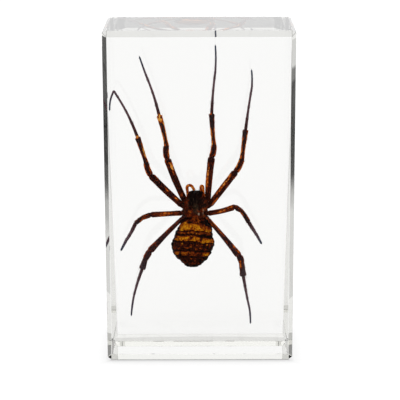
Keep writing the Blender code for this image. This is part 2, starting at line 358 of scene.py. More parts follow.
# Abdomen: how pale its bands are by height, then the gaps, lobes, specks and patches that break them up.
BANDS = (
    (19.2, 0.12), (20.8, 0.16), (22.0, 0.10), (22.35, 0.36), (22.9, 0.42), (23.15, 0.12), (23.5, 0.16),
    (24.3, 0.24), (25.1, 0.12), (25.35, 0.10), (25.55, 0.64), (26.0, 0.74), (26.4, 0.66), (26.62, 0.22),
    (26.95, 0.16), (27.2, 0.36), (27.55, 0.42), (27.78, 0.16), (28.0, 0.68), (28.7, 0.80), (29.3, 0.70),
    (29.65, 0.32), (30.2, 0.31), (31.2, 0.38),
)
BAND_SPOTS = (
    (-3.2, 29.75, 0.7, 0.35, 0.5), (-0.9, 29.6, 0.6, 0.25, 0.2), (-2.1, 29.8, 0.5, 0.3, -0.35),
    (1.6, 29.1, 1.9, 1.3, -0.42), (1.2, 28.2, 0.35, 0.5, -0.2), (2.2, 28.0, 0.4, 0.5, 0.15),
    (0.25, 26.0, 0.35, 0.8, -0.5), (-2.0, 26.1, 0.45, 0.5, -0.3), (-3.2, 26.2, 1.1, 0.4, 0.12),
    (-5.4, 26.4, 0.9, 0.9, -0.35), (1.6, 26.4, 1.8, 0.7, -0.18), (-4.9, 28.3, 0.7, 0.8, -0.3),
    (-0.8, 27.3, 3.4, 0.3, 0.14), (1.4, 30.3, 0.8, 0.6, 0.14), (-3.1, 30.5, 0.9, 0.4, 0.14),
    (-3.79, 24.93, 0.22, 0.2, 0.6), (1.6, 24.69, 0.22, 0.2, 0.6), (-1.92, 24.24, 0.3, 0.22, 0.4),
    (-0.82, 23.66, 0.4, 0.3, 0.35), (0.3, 23.9, 0.5, 0.35, 0.25), (-3.0, 24.0, 0.6, 0.3, 0.15),
    (-5.15, 22.75, 0.7, 0.42, 0.16), (-3.3, 22.65, 0.7, 0.42, 0.16), (1.5, 22.2, 0.9, 0.55, 0.38),
    (-4.25, 22.7, 0.35, 0.6, -0.3), (-2.2, 22.7, 0.55, 0.6, -0.18), (-0.6, 22.8, 0.9, 0.6, -0.25),
)


def abdomen_cuticle():
    """Dark brown, crossed by gold bands that fray along their edges and break up towards the tail, with
    painted shade in its folds and on its flanks.
    """
    made, shader, wire = new_material("abdomen_cuticle")
    x, y, z, place = in_mm(wire)
    lumps = cloud(place, 1.5, 3.0, 0.4)
    ragged = cloud(place, 0.7, 5.0, 0.8)
    fine = cloud(place, 0.3, 4.0, 1.0)
    z = z + (y - LAYER - ABDOMEN_LIFT) * BAND_LEAN
    smooth_height = noted(wire, "height")
    height = smooth_height + (lumps - 0.5) * 0.5 + (ragged - 0.5) * 0.8
    # The bands are kept as greys, as they are seen, and the power takes them back to numbers.
    grey = ramp(height, [(at, f"{round(value * 255):02X}") for at, value in BANDS], 19.0, 32.0)
    rich = grey.math("POWER", grey.node("SeparateColor", {}, {0: grey}), 1 / 2.2)
    marks = spots(x + (ragged - 0.5) * 0.9, z + (fine - 0.5) * 0.6, BAND_SPOTS)
    # Painted shade: darker on the flanks, where the body curves away from the front.
    flank_shade = ((y + 0.5) * 1.2).clamp()
    rich = rich * 0.9 + 0.06 + marks + (ragged - 0.52) * 1.1 + (fine - 0.5) * 1.4 - flank_shade * 0.35
    # Painted shade in the folds: darker along each fold's line, the more so the deeper the fold.
    for middle, depth, width in FOLDS:
        crease_shade = (1.0 - (smooth_height + (fine - 0.5) * 0.3 - middle).absolute() / (width * 0.7)).clamp()
        rich = rich - crease_shade * (ragged + 0.3) * (depth * 2.6)
    streak = cloud(place.stretched((1, 1, 0.15)), 0.3, 2.0)
    tail = ((22.0 - z) * 1.2).clamp()
    colour = ramp(rich + (streak - 0.5) * 0.7 * tail, RICHNESS)
    finish_cuticle(wire, shader, colour, 0.42 + fine * 0.25, fine + ragged, 0.12)
    return made


# Finishes of one grain: its size and detail, the roughness, and the colours from where the grain is lowest.
PALP = (0.5, 3.0, 0.45, ((0.32, "5E1C0A"), (0.44, "A43E0C"), (0.52, "CE6618"), (0.66, "E88A30")))
JAW = (0.5, 4.0, 0.4, ((0.3, "160A08"), (0.55, "34180E"), (0.75, "5A2A14")))
BREASTPLATE_STRIPE = (0.4, 4.0, 0.45, ((0.0, "8A6A28"), (0.22, "6E4A1C"), (0.34, "24120C"), (1.0, "180C0A")))
LENS = (0.15, 2.0, 0.12, ((0.3, "080506"), (0.6, "1C100C")))
DARK_HAIR = (0.8, 2.0, 0.55, ((0.3, "2A1810"), (0.7, "4A3020")))
PALE_HAIR = (0.8, 2.0, 0.55, ((0.3, "4A3626"), (0.7, "86705A")))
STRIPE_MIDDLE = -0.95


def grained(name, finish, gloss=None, striped=False):
    """A finish of one grain, as dry cuticle unless it has a gloss. A striped one's colours run outwards from
    the middle of a ragged stripe."""
    made, shader, wire = new_material(name)
    x, y, z, place = in_mm(wire)
    size, detail, roughness, stops = finish
    grain = cloud(place, size, detail)
    measure = (x - STRIPE_MIDDLE).absolute() + (grain - 0.5) * 0.35 if striped else grain
    colour = ramp(measure, stops)
    if gloss is None:
        finish_cuticle(wire, shader, colour, roughness, grain, 0.05)
    else:
        set_shader(wire, shader, Base_Color=colour, Roughness=roughness, Specular_IOR_Level=gloss)
    return made


# Modelling by hand: small wraps for the operators that every piece uses.


def select_only(*pieces):
    """Selects these pieces and no other. The first is the active one."""
    if bpy.context.object and bpy.context.object.mode != "OBJECT":
        bpy.ops.object.mode_set(mode="OBJECT")
    bpy.ops.object.select_all(action="DESELECT")
    for piece in reversed(pieces):
        piece.select_set(True)
        bpy.context.view_layer.objects.active = piece


def face_outward():
    """Turns the faces of the mesh in edit mode outward, and leaves edit mode."""
    bpy.ops.mesh.select_all(action="SELECT")
    bpy.ops.mesh.normals_make_consistent(inside=False)
    bpy.ops.object.mode_set(mode="OBJECT")


def dress(piece, name, material, slot, *nodes):
    """Names a finished piece, gives it its material and ties it to the frame."""
    piece.name = name
    piece.data.name = name
    piece.data.materials.clear()
    piece.data.materials.append(material)
    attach(piece, "root")
    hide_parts(*nodes)
    return piece


# The resin block


def cut_away(point, normal):
    """Cuts off what lies past a plane, and closes the cut with a flat face."""
    bpy.ops.mesh.select_all(action="SELECT")
    bpy.ops.mesh.bisect(plane_co=point, plane_no=normal, use_fill=True, clear_outer=True)


def shared_edge(first, second, height=0.0):
    """A point on the edge between two sides, at a height where the edge is upright."""
    point = Vector((0, 0, height))
    for axis, corner in (SIDES[first], SIDES[second]):
        for index in range(3):
            if axis[index]:
                point[index] = corner[index]
    return point


def cut_level_chamfer(side, end, size):
    """A chamfer on the edge between an upright side and the top or bottom."""
    depth, height = (length * MM for length in size)
    outward, along = SIDES[side][0], SIDES[end][0]
    normal = outward * height + along * depth
    cut_away(shared_edge(side, end) - outward * depth, normal.normalized())


def cut_upright_chamfer(face, side, widths):
    """A chamfer on the upright edge between the front or back face and a side."""
    outward, sideways = SIDES[face][0], SIDES[side][0]
    foot, top = (
        shared_edge(face, side, corner.z) - outward * (width * MM)
        for corner, width in zip((BLOCK_LOW, BLOCK_HIGH), widths))
    normal = (outward - sideways).cross(top - foot).normalized()
    if normal.dot(outward) < 0:
        normal = -normal
    cut_away(foot, normal)


def model_resin_block():
    """A cube cut to the block's chamfers, with every edge polished round."""
    select_only()
    middle = (BLOCK_LOW + BLOCK_HIGH) / 2
    bpy.ops.mesh.primitive_cube_add(size=1.0, location=middle, scale=BLOCK_HIGH - BLOCK_LOW)
    block = bpy.context.object
    bpy.ops.object.transform_apply(location=True, rotation=True, scale=True)
    bpy.ops.object.mode_set(mode="EDIT")
    for side in ("left", "right"):
        for face, widths in UPRIGHT_CHAMFERS.items():
            cut_upright_chamfer(face, side, widths)
    for side, sizes in LEVEL_CHAMFERS.items():
        for end, size in zip(("top", "bottom"), sizes):
            cut_level_chamfer(side, end, size)
    face_outward()
    arris = block.modifiers.new("arris", "BEVEL")
    arris.width = ARRIS
    arris.segments = ARRIS_STEPS
    arris.limit_method = "ANGLE"
    bpy.ops.object.modifier_apply(modifier="arris")
    return block


# The spider. Its measures are in mm, as in its solid. A lift is a distance behind (+) or in front of (-) the
# layer that it lies on, and its back faces the front.
LAYER = 1.2

# Body outlines from front to rear: height, left edge, right edge and half thickness.
CARAPACE = (
    (36.88, -2.15, 0.58, 0.45), (36.72, -2.38, 0.80, 0.85), (36.10, -2.55, 0.95, 1.28),
    (35.20, -3.05, 1.32, 1.50), (34.00, -3.70, 1.80, 1.55), (32.50, -3.77, 1.83, 1.45),
    (31.40, -3.47, 1.53, 1.20), (30.40, -2.60, 0.60, 0.90), (30.10, -1.80, -0.20, 0.50),
)
ABDOMEN = (
    (31.00, -2.40, 0.50, 0.90), (30.70, -3.10, 1.25, 1.50), (29.90, -4.05, 1.95, 2.20),
    (28.70, -4.65, 2.68, 2.72), (27.60, -5.30, 2.88, 2.98), (26.90, -5.60, 2.95, 3.05),
    (26.10, -5.82, 3.08, 3.12), (25.50, -6.20, 3.22, 3.15), (24.80, -6.33, 3.40, 3.15),
    (24.10, -6.28, 3.22, 3.10), (23.30, -6.10, 2.72, 2.98), (22.80, -5.92, 2.62, 2.82),
    (22.20, -5.66, 2.28, 2.65), (21.60, -5.00, 1.85, 2.40), (20.90, -4.25, 1.22, 2.05),
    (20.20, -3.65, 0.40, 1.45), (19.75, -3.00, -0.10, 0.90), (19.55, -2.35, -0.70, 0.50),
)
BREASTPLATE = (
    (34.95, -1.35, -0.55, 0.12), (34.60, -1.85, -0.05, 0.26), (33.80, -2.15, 0.25, 0.32),
    (33.00, -2.00, 0.10, 0.34), (32.00, -1.55, -0.35, 0.30), (31.30, -1.15, -0.75, 0.15),
)
CARAPACE_LIFT = -0.2
ABDOMEN_LIFT = -0.3
BREASTPLATE_LIFT = 1.22
BODY_STEP = 0.3  # between the rings of a body's loft
BODY_SIDES = 24
BODY_TIP = 0.2

# The lift of a leg's six joints from hip to tip. Its root runs from the hip into the carapace: how far,
# towards which place and lift, how stout, and its rings by share of the way and swelling.
JOINT_LIFT = (0.6, -0.9, -0.8, -0.4, 0.0, 0.2)
HIP_REACH = 2.4
HIP_TARGET = (-0.95, 33.0)
HIP_TARGET_LIFT = 0.3
HIP_FLARE = 1.18
HIP_RINGS = ((0.0, 0.95), (0.35, 1.06), (0.58, 1.04), (0.66, 0.90), (0.74, 1.02), (0.90, 1.0))

# The radius of each segment near its start, at its middle and near its end.
STOUT = ((0.71, 0.79, 0.78), (0.68, 0.72, 0.65), (0.45, 0.54, 0.62), (0.36, 0.26, 0.25), (0.23, 0.21, 0.18))
SHORT = ((0.60, 0.62, 0.65), (0.60, 0.61, 0.57), (0.50, 0.53, 0.50), (0.44, 0.40, 0.35), (0.34, 0.31, 0.24))
HIND = ((0.49, 0.60, 0.77), (0.73, 0.74, 0.69), (0.66, 0.69, 0.74), (0.38, 0.31, 0.26), (0.25, 0.24, 0.19))

# A leg has its hip's x and height, its radii, and five segments of length, bearing in degrees clockwise from
# straight up, and bow to the right. Its glow lists the amber windows of painted light shining through the
# dark
# cuticle: from and to, where 2.5 is the middle of the third segment, the side (-1 left edge, 1 right edge)
# and the strength.
Leg = namedtuple("Leg", "hip radii femur patella tibia metatarsus tarsus glow")
LEGS = {
    "left_1": Leg(
        (-3.4, 34.8), STOUT,
        (10.0, -21, -0.15), (3.0, -3, -0.2), (6.8, -13, 0.1), (9.4, -17.7, 0.2), (3.8, -19, 0),
        ((0.10, 0.21, -0.3, 1.0), (0.62, 0.96, 0.5, 0.9), (0.70, 0.84, 0.5, 1.2), (0.80, 1.05, -0.9, 0.5),
         (1.0, 1.4, -0.8, 0.4), (1.1, 1.8, 0.9, 0.9), (1.95, 2.48, -0.9, 2.2), (1.95, 2.78, 0.9, 1.1),
         (2.40, 2.80, -0.9, 0.6), (2.76, 3.03, 0.0, 1.5)),
    ),
    "left_2": Leg(
        (-3.9, 33.5), STOUT,
        (9.6, -44, -0.1), (3.2, -19, -0.2), (5.8, -18, 0), (11.2, -26.3, 0.36), (4.3, -167, 0.3),
        ((0.05, 0.20, -0.8, 0.4), (0.16, 0.29, 0.4, 0.9), (0.44, 0.58, 0.5, 0.6), (0.80, 0.98, 0.9, 0.3),
         (1.0, 1.75, -0.9, 0.6), (1.25, 1.8, 0.9, 0.8), (1.78, 1.94, -0.8, 0.55), (1.98, 2.30, 0.9, 1.0),
         (2.16, 2.50, 0.6, 2.2), (2.38, 2.82, 0.8, 1.2), (2.10, 2.90, -0.9, 0.55), (2.96, 3.03, 0.0, 1.3)),
    ),
    "left_3": Leg(
        (-3.9, 31.7), SHORT,
        (6.8, -91, 0), (2.0, -111, 0), (2.0, -131, 0), (4.5, -152, -0.12), (2.6, -153, 0),
        ((-0.2, 1.0, 0.0, 0.20), (0.05, 0.22, -0.8, 0.7), (0.40, 0.58, 0.3, 0.8), (0.56, 0.72, -0.5, 0.5),
         (1.0, 2.0, 0.0, 0.2), (1.72, 1.98, -0.6, 0.6), (1.95, 2.50, -0.6, 0.7)),
    ),
    "left_4": Leg(
        (-3.8, 30.5), HIND,
        (10.2, -135, 0.1), (2.2, -152, 0), (2.5, -163, 0), (6.4, -163, 0.1), (4.7, -172, 0.08),
        ((-0.3, 0.25, 0.2, 0.2), (0.22, 0.45, 0.8, 0.4), (0.28, 0.42, -0.9, 0.35), (0.70, 0.98, 0.9, 0.3),
         (1.3, 1.9, 0.9, 0.35), (2.85, 3.02, -0.5, 0.4)),
    ),
    "right_1": Leg(
        (1.8, 35.0), STOUT,
        (9.5, 5, -0.1), (2.9, 10, 0.18), (6.8, -4, -0.08), (9.2, 5, -0.1), (5.4, 0, 0.1),
        ((0.20, 0.80, -0.6, 0.9), (0.50, 0.76, -0.7, 0.6), (0.1, 0.9, 0.95, 0.35), (1.1, 1.95, -0.95, 0.55),
         (1.1, 1.95, 0.95, 0.6), (1.95, 2.58, -0.9, 2.2), (1.98, 2.55, 0.9, 1.05), (2.55, 2.9, 0.95, 0.3),
         (2.96, 3.06, -0.4, 0.6)),
    ),
    "right_2": Leg(
        (2.3, 33.6), STOUT,
        (9.4, 36, 0), (3.3, 25, 0.25), (6.4, 7, 0), (9.2, 8, -0.06), (3.7, -1, 0.09),
        ((0.02, 0.26, 0.6, 0.6), (0.20, 0.58, -0.6, 0.6), (0.54, 0.78, -0.6, 1.5), (0.76, 0.96, -0.9, 0.8),
         (0.5, 0.94, 0.95, 0.45), (1.0, 1.9, 0.9, 0.75), (1.2, 1.85, -0.9, 1.0), (1.96, 2.36, -0.9, 2.2),
         (2.28, 2.82, -0.9, 0.95), (2.0, 2.82, 0.9, 0.85), (2.78, 3.02, 0.9, 0.7)),
    ),
    "right_3": Leg(
        (1.8, 31.6), SHORT,
        (6.2, 74, 0.2), (1.7, 124, 0), (3.1, 149, -0.08), (3.6, 149, 0), (2.1, 152, 0),
        ((-0.2, 1.0, 0.0, 0.18), (0.40, 0.60, -0.1, 0.9), (0.76, 0.93, -0.8, 0.9), (1.0, 1.8, -0.7, 0.5),
         (1.76, 2.0, 0.6, 0.55), (2.02, 2.32, 0.7, 0.65), (2.38, 2.78, -0.8, 0.4)),
    ),
    "right_4": Leg(
        (1.9, 30.2), HIND,
        (10.5, 140, -0.1), (1.7, 160, -0.1), (3.3, 173, 0), (5.7, 170, 0), (5.4, 173, -0.2),
        ((-0.3, 0.2, 0.0, 0.35), (0.05, 0.30, -0.8, 0.4), (0.22, 0.45, -0.5, 0.45), (0.55, 0.70, 0.3, 0.5),
         (0.76, 0.97, -0.9, 0.8), (1.5, 1.98, 0.5, 0.8), (1.99, 2.30, 0.4, 1.1), (2.25, 2.62, 0.6, 0.5)),
    ),
}
# The widths of the amber windows of painted light on a leg.
GLOW_WIDTH = 0.34  # of a window at one side, as a share of the radius
MIDDLE_GLOW_WIDTH = 1.2
FOLD_ANGLE = 90  # a joint that turns further than this starts a new tube
LEG_SIDES = 12
LEG_STEP = 0.9  # between the rings of a leg's plain stretches
TIP_LENGTH = 0.3
# Rings either side of a joint: distance from it and swelling, both as shares of the segment's radius. Most
# joints are knuckles, but the patella runs into the tibia, which takes up its width over a short taper.
KNUCKLE = ((0.0, 0.80), (0.22, 0.93), (0.50, 1.07), (0.95, 1.05), (1.60, 1.0))
KNEE = ((0.0, 0.86), (0.22, 0.91), (0.50, 0.96), (0.95, 1.0), (1.60, 1.0))
TAPER = 1.5
BEND_REACH = 1.2  # in radii, how far past a joint a ring still leans towards the joint's own plane

# Palps: x, height and radius from the foot, up over the bend and down again.
PALPS = {
    "left": (
        (-2.60, 35.0, 0.30), (-2.62, 35.9, 0.30), (-2.64, 36.7, 0.33), (-2.76, 37.45, 0.40),
        (-2.62, 37.95, 0.38), (-2.04, 38.12, 0.37), (-1.58, 37.78, 0.37), (-1.20, 37.05, 0.32),
        (-1.05, 36.7, 0.28),
    ),
    "right": (
        (0.95, 35.1, 0.32), (0.90, 35.9, 0.31), (0.82, 36.7, 0.31), (0.78, 37.5, 0.33),
        (0.66, 37.92, 0.31), (0.34, 38.02, 0.28), (0.18, 37.62, 0.28), (0.28, 36.95, 0.27),
        (0.36, 36.6, 0.25),
    ),
}
PALP_LIFT = -0.1
PALP_TIP = 0.12

# A station is a ring of a tube: its middle, half width and thickness, bearing, and place along the limb.
Station = namedtuple("Station", "middle wide thick bearing along")
BACKWARD = Vector((0, 1, 0))


def ring(middle, radius, bearing=0, along=0):
    """A round station."""
    return Station(middle, radius, radius, bearing, along)


def spider_point(x, lift, z):
    return Vector((x, LAYER + lift, z))


def walk(start, length, bearing):
    """The x and z reached by going length from start."""
    angle = math.radians(bearing)
    return (start[0] + length * math.sin(angle), start[1] + length * math.cos(angle))


def between(start, end, share):
    return start + (end - start) * share


def unit(value):
    """A number kept between 0 and 1."""
    return min(1.0, max(0.0, value))


def bump(value, middle, width):
    """A smooth hill of height 1 over its middle."""
    return math.exp(-(((value - middle) / width) ** 2))


def sweep(stations, sides, tip):
    """A closed tube: a circle that is extruded, turned and resized from station to station, in mm."""
    select_only()
    bpy.ops.mesh.primitive_circle_add(vertices=sides, radius=1.0, fill_type="NGON", location=(0, 0, 0))
    tube = bpy.context.object
    bpy.ops.object.mode_set(mode="EDIT")
    bpy.ops.mesh.select_all(action="SELECT")
    first = stations[0]
    bpy.ops.transform.resize(value=(first.wide, first.thick, 1.0))
    turn_ring(first.bearing, (0, 0, 0))
    bpy.ops.transform.translate(value=first.middle)
    for last, station in zip(stations, stations[1:]):
        step = station.middle - last.middle
        bpy.ops.mesh.extrude_region_move(TRANSFORM_OT_translate={"value": step})
        turn_ring(station.bearing - last.bearing, station.middle)
        growth = (station.wide / last.wide, station.thick / last.thick, 1.0)
        if station.wide == station.thick:
            growth = (growth[0],) * 3
        bpy.ops.transform.resize(value=growth, center_override=station.middle)
    last = stations[-1]
    way = (last.middle - stations[-2].middle).normalized() * tip
    bpy.ops.mesh.extrude_region_move(TRANSFORM_OT_translate={"value": way})
    bpy.ops.mesh.merge(type="CENTER")
    face_outward()
    return tube


def turn_ring(degrees, pivot):
    """Turns what is selected clockwise as the front sees it."""
    if degrees:
        bpy.ops.transform.rotate(value=-math.radians(degrees), orient_axis="Y", center_override=pivot)


def label_points(tube, stations, glow):
    """Notes at each point of a limb's tube its place round and along it, and how strong the painted light is
    that shines through its cuticle. The notes are all made before any is filled, because a new one moves the
    others."""
    mesh = tube.data
    notes = {"place": "FLOAT_VECTOR", "along": "FLOAT", "glow": "FLOAT"}
    for name, kind in notes.items():
        mesh.attributes.new(name, kind, "POINT")
    place, along, window = (mesh.attributes[name].data for name in notes)
    lengths = [0.0]
    for last, station in zip(stations, stations[1:]):
        lengths.append(lengths[-1] + (station.middle - last.middle).length)
    for point in mesh.vertices:
        index = min(point.index // LEG_SIDES, len(stations) - 1)
        station = stations[index]
        bearing = math.radians(station.bearing)
        offset = point.co - station.middle
        sideways = (offset.x * math.cos(bearing) - offset.z * math.sin(bearing)) / station.wide
        place[point.index].vector = (sideways, offset.y / station.thick, lengths[index])
        along[point.index].value = station.along
        window[point.index].value = glow_at(glow, station.along, sideways)


def glow_at(glow, along, sideways):
    """The strength of the amber windows of painted light at a place on a leg."""
    total = 0.0
    for start, end, side, strength in glow:
        past = (along - start) * (end - along)
        if past > 0:
            ends = min(1.0, past * 16 / (end - start) ** 2)
            total += strength * ends * bump(sideways, side, GLOW_WIDTH if side else MIDDLE_GLOW_WIDTH)
    return total


def finish_skin(piece, levels):
    """Smooths a piece by subdivision."""
    skin = piece.modifiers.new("skin", "SUBSURF")
    skin.levels = levels
    skin.render_levels = levels
    select_only(piece)
    bpy.ops.object.modifier_apply(modifier="skin")
    bpy.ops.object.shade_smooth()


def note_points(piece, name, value):
    """Notes value(x, y, z) at each point of a piece, still in mm."""
    note = piece.data.attributes.new(name, "FLOAT", "POINT")
    note.data.foreach_set("value", [value(*point.co) for point in piece.data.vertices])


def press_relief(piece, relief):
    """Moves each point of a piece, still in mm, along its normal by relief(x, y, z)."""
    moves = [point.normal * relief(*point.co) for point in piece.data.vertices]
    for point, move in zip(piece.data.vertices, moves):
        point.co += move


def join_pieces(pieces):
    select_only(*pieces)
    bpy.ops.object.join()
    return pieces[0]


def to_metres(piece):
    select_only(piece)
    bpy.ops.transform.resize(value=(MM, MM, MM), center_override=(0, 0, 0))
    bpy.ops.object.transform_apply(location=True, rotation=True, scale=True)
    return piece


# Body


def body_stations(outline, lift):
    """Rings every BODY_STEP down an outline, from the front to the rear."""
    heights = [row[0] for row in outline]
    count = round((heights[0] - heights[-1]) / BODY_STEP)
    stations = []
    for step in range(count + 1):
        z = between(heights[0], heights[-1], step / count)
        above = max(index for index, height in enumerate(heights[:-1]) if height >= z - 1e-6)
        share = (heights[above] - z) / (heights[above] - heights[above + 1])
        left, right, thick = (between(outline[above][n], outline[above + 1][n], share) for n in (1, 2, 3))
        middle = spider_point((left + right) / 2, lift, z)
        stations.append(Station(middle, (right - left) / 2, thick, 0, 0))
    return stations


def wrinkle(x, y, z, size):
    return noise.noise(Vector((x, y, z)) / size)


def to_line(x, z, start, end):
    """The distance from a place to the line between two others."""
    place = Vector((x, z)) - Vector(start)
    line = Vector(end) - Vector(start)
    return (place - line * unit(place.dot(line) / line.length_squared)).length


# The carapace's furrows, as lines on its back: from the pit in the thorax to the head's sides and to the gaps
# between the hips, with depth and width.
PIT = (-0.95, 33.1)
FURROWS = (
    ((-2.75, 35.6), 0.22, 0.28), ((0.95, 35.6), 0.22, 0.28), ((-3.6, 34.2), 0.12, 0.22),
    ((1.7, 34.2), 0.12, 0.22), ((-3.7, 32.6), 0.12, 0.22), ((1.8, 32.6), 0.12, 0.22),
    ((-3.0, 31.2), 0.12, 0.22), ((1.1, 31.2), 0.12, 0.22),
)


def carapace_relief(x, y, z):
    depth = -0.30 * bump(math.hypot(x - PIT[0], z - PIT[1]), 0.0, 0.4)
    for end, furrow, width in FURROWS:
        depth -= furrow * bump(to_line(x, z, PIT, end), 0.0, width)
    back = unit(LAYER + CARAPACE_LIFT + 0.2 - y)
    return depth * back + 0.05 * wrinkle(x, y, z, 0.5) + 0.07 * wrinkle(x, y, z, 1.1)


def breastplate_relief(x, y, z):
    return 0.04 * wrinkle(x, y, z, 0.4)


# The abdomen's folds: height, depth and width. They waver as they cross the back.
FOLDS = (
    (29.75, 0.12, 0.22), (27.80, 0.20, 0.20), (26.88, 0.22, 0.22), (25.25, 0.20, 0.20),
    (24.20, 0.10, 0.20), (23.20, 0.18, 0.20), (22.00, 0.14, 0.22), (20.90, 0.08, 0.20),
)


def band_height(x, y, z):
    """The height that a place on the abdomen would have if its folds and bands ran straight and level."""
    stray = 0.32 * wrinkle(x, y * 0.3, 7.0 + z * 0.3, 1.2) - 0.05 * (x + 1.5)
    slip = 0.25 * bump(z, 26.0, 1.0) * unit(x / 0.6)
    return z + (y - LAYER - ABDOMEN_LIFT) * BAND_LEAN - stray + slip


def abdomen_relief(x, y, z):
    """Folds all round, deepest on the back, pleats at the tail and a leathery skin."""
    back = unit((0.6 - y + LAYER + ABDOMEN_LIFT) / 1.2)
    height = band_height(x, y, z)
    depth = 0.0
    for middle, fold, width in FOLDS:
        depth -= fold * bump(height, middle, width)
    pleats = 0.05 * math.sin(x * 9.0) * unit((22.4 - z) / 1.5)
    rough = 0.14 * wrinkle(x, y, z, 0.9) + 0.07 * wrinkle(x, y, z, 0.35)
    return (depth + pleats) * between(0.35, 1.0, back) + rough


def model_body(outline, lift, levels, relief):
    piece = sweep(body_stations(outline, lift), BODY_SIDES, BODY_TIP)
    finish_skin(piece, levels)
    note_points(piece, "height", band_height)
    press_relief(piece, relief)
    return to_metres(piece)


# Legs and palps


def leg_places(index, length, radii):
    """The rings of a segment: distance from its start and swelling."""
    near, far = (KNEE if index == knee else KNUCKLE for knee in (2, 1))
    places = [(offset * radii[0], swell) for offset, swell in near]
    first = places[-1][0]
    last = length - far[-1][0] * radii[-1]
    count = max(1, round((last - first) / LEG_STEP))
    for step in range(1, count):
        places.append((between(first, last, step / count), 1.0))
    ends = [(length - offset * radii[-1], swell) for offset, swell in reversed(far[1:])]
    return places + [end for end in ends if end[0] > first + 0.05]


def radius_at(radii, share):
    """The radius along a segment, through its values near the start, at the middle and near the end."""
    if share < 0.5:
        return between(radii[0], radii[1], max(0.0, (share - 0.1) / 0.4))
    return between(radii[1], radii[2], min(1.0, (share - 0.5) / 0.4))


def leg_stations(leg):
    """The stations of a leg's tubes, hip to tip. A joint that turns past FOLD_ANGLE starts a second tube."""
    stout = leg.radii[0][0] * HIP_FLARE
    inward = (Vector(HIP_TARGET) - Vector(leg.hip)).normalized() * HIP_REACH
    root = spider_point(leg.hip[0] + inward.x, HIP_TARGET_LIFT, leg.hip[1] + inward.y)
    hip = spider_point(leg.hip[0], JOINT_LIFT[0], leg.hip[1])
    first = math.degrees(math.atan2(-inward.x, -inward.y))
    first += 360 * round((leg.femur[1] - first) / 360)
    tubes = [[ring(root.lerp(hip, share), stout * swell, first, share - 1.0) for share, swell in HIP_RINGS]]
    joint = leg.hip
    segments = (leg.femur, leg.patella, leg.tibia, leg.metatarsus, leg.tarsus)
    bearings = [first] + [segment[1] for segment in segments]
    for index, (length, bearing, bow) in enumerate(segments):
        radii = leg.radii[index]
        before = bearings[index]
        after = bearings[index + 2] if index < 4 else bearing
        if abs(bearing - before) > FOLD_ANGLE:
            tubes.append([])
            before = bearing
        if abs(bearing - after) > FOLD_ANGLE:
            after = bearing
        for distance, swell in leg_places(index, length, radii):
            share = distance / length
            radius = radius_at(radii, share) * swell
            if index == 2:
                wider = (leg.radii[1][-1] - radii[0]) * KNEE[0][1]
                radius += wider * max(0.0, 1 - distance / TAPER) ** 2
            on_chord = walk(joint, distance, bearing)
            x, z = walk(on_chord, bow * math.sin(math.pi * share), bearing + 90)
            lift = between(JOINT_LIFT[index], JOINT_LIFT[index + 1], share)
            lean = math.degrees(math.atan(bow * math.pi / length * math.cos(math.pi * share)))
            facing = bearing + lean
            near = distance / (BEND_REACH * radii[0])
            if near < 1:
                facing = between((before + bearing) / 2, facing, near)
            near = (length - distance) / (BEND_REACH * radii[-1])
            if near < 1:
                facing = between((after + bearing) / 2, facing, near)
            middle = spider_point(x, lift, z)
            radius *= 1 + 0.05 * wrinkle(x, lift, z, 1.3)
            tubes[-1].append(ring(middle, radius, facing, index + share))
        joint = walk(joint, length, bearing)
    return tubes


def model_limb(tubes, tip, glow=()):
    """A limb from its tubes' stations."""
    pieces = []
    for stations in tubes:
        piece = sweep(stations, LEG_SIDES, tip)
        label_points(piece, stations, glow)
        finish_skin(piece, 1)
        pieces.append(piece)
    return to_metres(join_pieces(pieces))


def palp_stations(path):
    """A palp's rings, with a waist halfway between each two places of its path."""
    stations = []
    bearing = 0.0
    for start, end in zip(path, path[1:]):
        way = math.degrees(math.atan2(end[0] - start[0], end[1] - start[1]))
        turn = (way - bearing + 180) % 360 - 180
        for share, swell in ((0.0, 1.0), (0.5, 0.9)):
            x, z, radius = (between(start[n], end[n], share) for n in range(3))
            facing = bearing + turn * (0.5 + share)
            stations.append(ring(spider_point(x, PALP_LIFT, z), radius * swell, facing, share))
        bearing += turn
    return stations


# Jaws, fangs, spinnerets and eyes are buds: turned along +Z as a row of (height, radius) or (height, radius,
# bearing, x), then tipped over about X, splayed about Y and set in their places.

JAW_PROFILE = ((0.0, 0.42), (0.25, 0.54), (0.7, 0.58), (1.2, 0.52), (1.55, 0.42), (1.72, 0.34), (1.80, 0.20))
FANG_PROFILE = ((0.0, 0.17, 0, 0.0), (0.22, 0.14, 12, 0.03), (0.42, 0.10, 30, 0.11), (0.56, 0.05, 48, 0.24))
SPINNERET_PROFILE = ((0.0, 0.30), (0.25, 0.33), (0.55, 0.28), (0.62, 0.22), (0.85, 0.19), (1.0, 0.10))
EYE_PROFILE = (
    (-0.25, 0.20), (0.0, 0.21), (0.04, 0.18), (0.05, 0.155), (0.10, 0.14), (0.14, 0.09), (0.16, 0.04),
)
BUD_SIDES = 12
BUD_TIP = 0.03

# Each row is a pair of buds, one on either side: out from the middle of the head or the tail, lift, height,
# tip over, splay and size.
HEAD_MIDDLE = -0.79
TAIL_MIDDLE = -1.62
JAWS = ((0.62, 0.3, 35.80, -72, 4, 1.0),)
FANGS = ((0.50, 1.95, 36.40, -160, 6, 1.0),)
SPINNERETS = (
    (0.30, 0.95, 21.0, -141, -10, 1.0), (0.34, 0.85, 20.55, -141, -14, 0.95),
    (0.10, 0.95, 20.75, -141, -3, 0.6),
)
EYES = (
    (0.30, -0.72, 36.88, 40, 8, 0.95), (0.36, -1.10, 36.52, 62, 12, 1.0),
    (1.18, -0.62, 36.62, 48, 50, 0.85), (1.30, -0.30, 36.55, 30, 58, 0.80),
)


